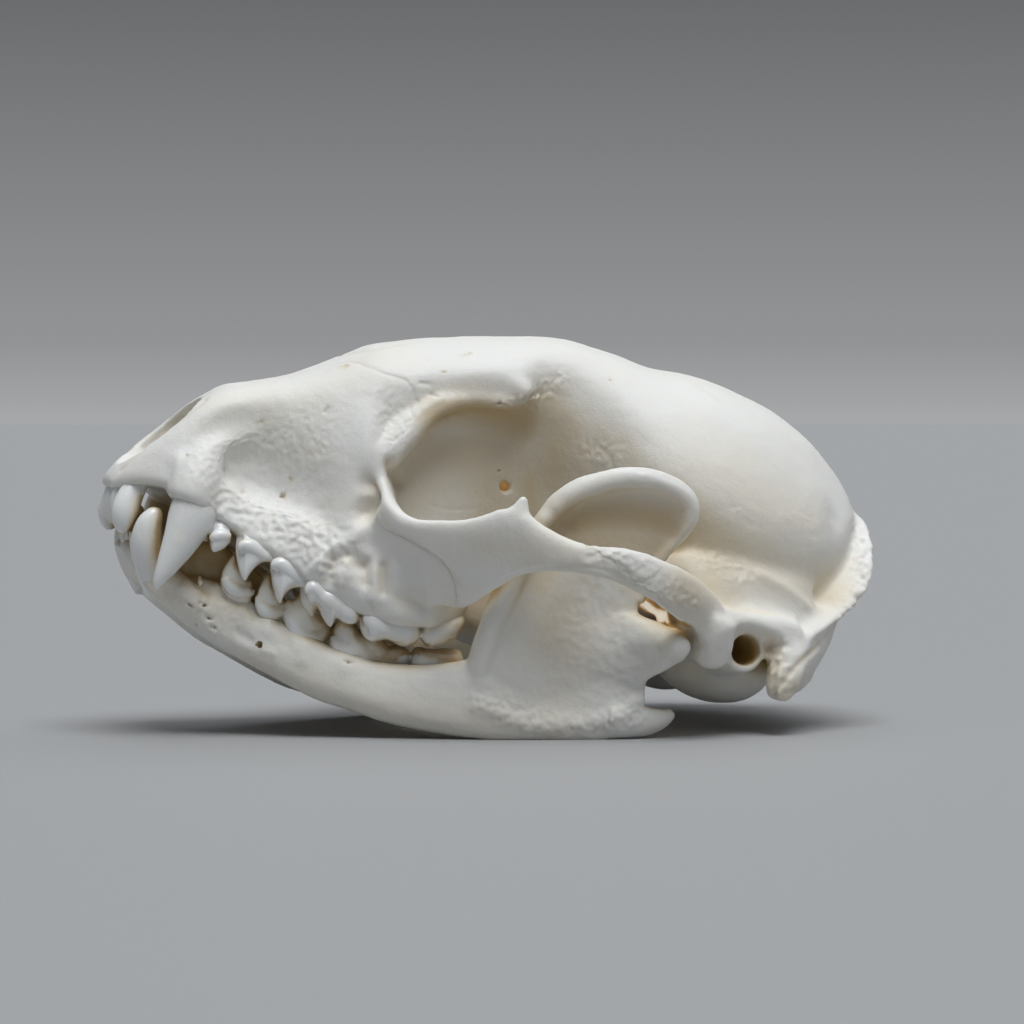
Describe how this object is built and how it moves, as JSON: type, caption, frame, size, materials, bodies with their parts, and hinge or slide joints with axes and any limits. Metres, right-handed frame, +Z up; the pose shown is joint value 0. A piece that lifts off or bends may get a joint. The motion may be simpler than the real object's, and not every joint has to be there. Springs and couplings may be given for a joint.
{
  "type": "raccoon skull",
  "caption": "Life-size raccoon skull with its lower jaw, teeth closed, resting on the jaw as a still museum model.",
  "frame": {"origin": "middle of the footprint, on the surface that the lower jaw rests on", "axes": "+X towards the back of the head, -X towards the nose, +Z up, the skull's left side towards -Y"},
  "size_m": [0.1098, 0.0726, 0.0556],
  "materials": {
    "bone": "matte",
    "cheek_bone": "matte",
    "jaw_bone": "matte",
    "tooth": "gloss"
  },
  "bodies": {
    "root": {"cranium": "bone", "zygomatic_left": "cheek_bone", "zygomatic_right": "cheek_bone", "mandible_left": "jaw_bone", "mandible_right": "jaw_bone"}
  },
  "joints": []
}
